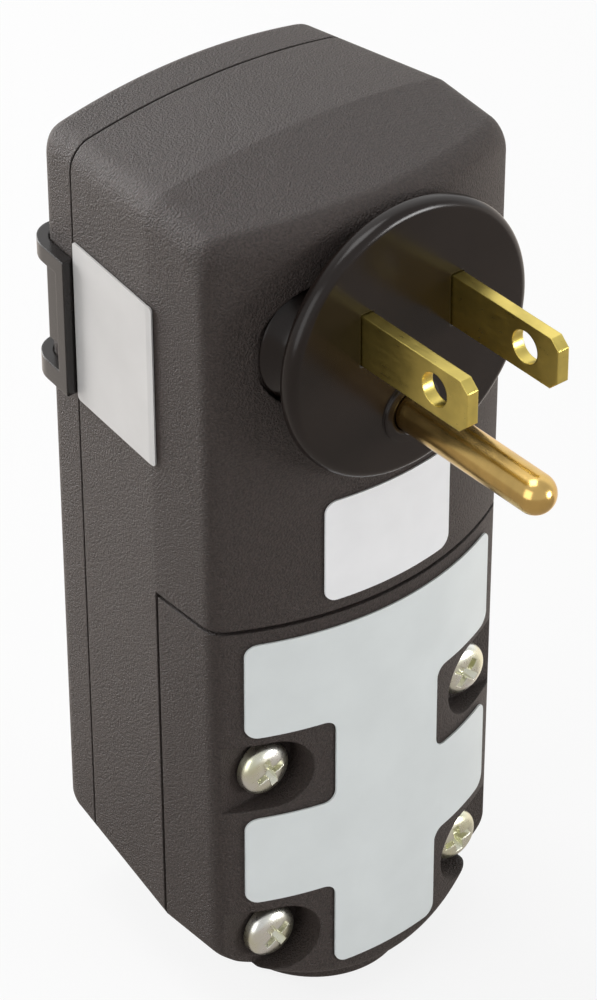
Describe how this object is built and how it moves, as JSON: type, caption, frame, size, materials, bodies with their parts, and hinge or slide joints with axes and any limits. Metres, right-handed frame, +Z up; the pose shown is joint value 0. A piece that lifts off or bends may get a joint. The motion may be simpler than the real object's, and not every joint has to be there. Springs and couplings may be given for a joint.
{
  "type": "right-angle ground-fault plug unit",
  "caption": "Right-angle ground-fault plug unit: black two-shell case with a round three-pin plug face, a screwed wiring cover and a round cord neck.",
  "frame": {"origin": "centre of the plug face, in its plane", "axes": "+Z up (cord end down), blades along -Y, +X to the right seen from the blades"},
  "size_m": [0.043, 0.0654, 0.1107],
  "materials": {
    "board_green": "solder mask",
    "brass": "bright, lightly brushed",
    "button_black": "smooth moulded",
    "button_red": "smooth moulded",
    "case_black": "fine spark-eroded grain",
    "copper": "plain copper",
    "ferrite": "coated core",
    "label_silver": "satin silver film",
    "label_white": "satin white film",
    "nylon": "natural nylon",
    "part_black": "moulded",
    "part_blue": "epoxy coat",
    "rubber": "matt",
    "smooth_black": "smooth moulded",
    "steel": "plain",
    "zinc": "bright zinc plate"
  },
  "bodies": {
    "case": {"button_guard": "smooth_black", "case_screw_lower_left": "zinc", "case_screw_lower_right": "zinc", "case_screw_upper_left": "zinc", "case_screw_upper_right": "zinc", "circuit_board": "board_green", "clamp_screw_left": "zinc", "clamp_screw_right": "zinc", "control_chip": "part_black", "cord_clamp": "steel", "cord_grommet": "rubber", "cover_screw_lower_left": "zinc", "cover_screw_lower_right": "zinc", "cover_screw_upper_left": "zinc", "cover_screw_upper_right": "zinc", "filter_capacitor": "part_blue", "front_case": "case_black", "ground_pin": "brass", "ground_strap": "copper", "hot_blade": "brass", "line_contact_hot": "brass", "line_contact_neutral": "brass", "load_contact_hot": "brass", "load_contact_neutral": "brass", "mechanism_frame": "nylon", "neutral_blade": "brass", "neutral_toroid": "ferrite", "plug_base": "smooth_black", "plug_retainer": "nylon", "rating_label": "label_silver", "rear_cover": "case_black", "reset_spring": "steel", "sense_toroid": "ferrite", "serial_label": "label_white", "solenoid_bobbin": "nylon", "solenoid_coil": "copper", "surge_varistor": "part_blue", "terminal_plate_ground": "brass", "terminal_plate_hot": "brass", "terminal_plate_neutral": "brass", "terminal_screw_ground": "brass", "terminal_screw_hot": "brass", "terminal_screw_neutral": "steel", "test_leaf": "copper", "test_resistor": "nylon", "test_spring": "steel", "wiring_cover": "case_black", "wiring_label": "label_silver"},
    "reset_button": {"reset_button": "button_red"},
    "test_button": {"test_button": "button_black"},
    "carrier": {"contact_carrier": "nylon", "bridge_hot": "copper", "bridge_neutral": "copper"},
    "latch": {"latch_plate": "steel"},
    "plunger": {"trip_plunger": "steel"}
  },
  "joints": [
    {"name": "reset_press", "type": "slide", "parent": "case", "child": "reset_button", "axis": [0, -1, 0], "range_m": [0, 0.002], "stiffness_N_per_m": 400, "springref_m": -0.001, "deforming": ["reset_spring"]},
    {"name": "test_press", "type": "slide", "parent": "case", "child": "test_button", "axis": [0, -1, 0], "range_m": [0, 0.0015], "stiffness_N_per_m": 400, "springref_m": -0.001, "deforming": ["test_spring"]},
    {"name": "contact_trip", "type": "slide", "parent": "case", "child": "carrier", "axis": [0, -1, 0], "range_m": [0, 0.0015]},
    {"name": "plunger_pull", "type": "slide", "parent": "case", "child": "plunger", "axis": [-1, 0, 0], "range_m": [0, 0.0012], "stiffness_N_per_m": 100, "springref_m": -0.0005},
    {"name": "latch_shift", "type": "slide", "parent": "carrier", "child": "latch", "axis": [-1, 0, 0], "range_m": [0, 0.0012]}
  ],
  "couplings": [
    {"joint": "latch_shift", "follows": "plunger_pull", "ratio": 1}
  ]
}
